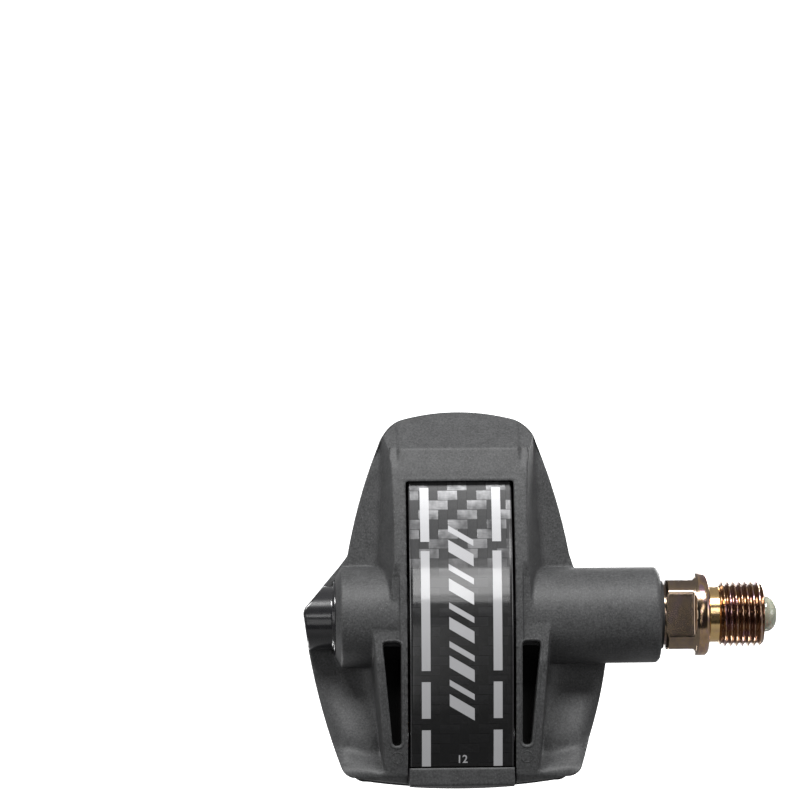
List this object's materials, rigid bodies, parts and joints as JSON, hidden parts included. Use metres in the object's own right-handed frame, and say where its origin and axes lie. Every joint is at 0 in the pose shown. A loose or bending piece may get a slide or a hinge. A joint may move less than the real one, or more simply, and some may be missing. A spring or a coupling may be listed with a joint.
{
  "type": "clipless pedal",
  "caption": "Right-hand road bicycle pedal: hollow threaded spindle, composite body with a nose hook, and a rear jaw sprung by a carbon leaf.",
  "frame": {"origin": "centre of the spindle flange's crank-side face, on the spindle axis", "axes": "+X along the spindle away from the crank, +Y to the pedal's nose, +Z to the shoe"},
  "size_m": [0.1032, 0.082, 0.0287],
  "materials": {
    "bronze_steel": "bronze-coloured coating, polished",
    "clear_plastic": "clear, polished",
    "seal_rubber": "matte",
    "circuit_board": "green solder mask",
    "battery_sleeve": "shrink sleeve",
    "bearing_steel": "ground and polished",
    "plain_steel": "turned",
    "cage_plastic": "moulded nylon",
    "composite": "carbon-filled nylon, fine matte grain",
    "stainless_plate": "brushed stainless",
    "gloss_cap": "gloss black",
    "carbon_leaf": "clear-coated carbon twill, printed stripes",
    "pad_plastic": "low-friction pad"
  },
  "bodies": {
    "spindle": {"spindle": "bronze_steel", "end_window": "clear_plastic", "window_o_ring": "seal_rubber", "circuit_board": "circuit_board", "battery_cell": "battery_sleeve", "ball_inner_rings": "bearing_steel", "nut_washer": "plain_steel", "lock_nut": "plain_steel"},
    "pedal_body": {"pedal_body": "composite", "wear_plate": "stainless_plate", "wear_plate_screws": "stainless_plate", "lip_seal": "seal_rubber", "thrust_washer": "bearing_steel", "needle_shell": "bearing_steel", "ball_outer_rings": "bearing_steel", "end_cap": "gloss_cap", "cap_o_ring": "seal_rubber", "jaw_pin": "plain_steel", "leaf_blade": "carbon_leaf", "blade_pad": "pad_plastic"},
    "rear_jaw": {"rear_jaw": "composite", "jaw_bushes": "cage_plastic"},
    "needle_set": {"needle_rollers": "bearing_steel", "needle_cage": "cage_plastic"},
    "ball_set": {"bearing_balls": "bearing_steel", "ball_cages": "cage_plastic"}
  },
  "joints": [
    {"name": "body_spin", "type": "hinge", "parent": "spindle", "child": "pedal_body", "pos_m": [0.054, 0, 0], "axis": [1, 0, 0], "continuous": true},
    {"name": "jaw_open", "type": "hinge", "parent": "pedal_body", "child": "rear_jaw", "pos_m": [0.054, -0.0255, 0.0005], "axis": [1, 0, 0], "range_deg": [0, 14], "stiffness_Nm_per_rad": 12, "springref_deg": -5.73, "deforming": ["leaf_blade"]},
    {"name": "needle_orbit", "type": "hinge", "parent": "spindle", "child": "needle_set", "pos_m": [0.0232, 0, 0], "axis": [1, 0, 0], "continuous": true},
    {"name": "ball_orbit", "type": "hinge", "parent": "spindle", "child": "ball_set", "pos_m": [0.0706, 0, 0], "axis": [1, 0, 0], "continuous": true}
  ],
  "couplings": [
    {"joint": "needle_orbit", "follows": "body_spin", "ratio": 0.5588},
    {"joint": "ball_orbit", "follows": "body_spin", "ratio": 0.6}
  ]
}
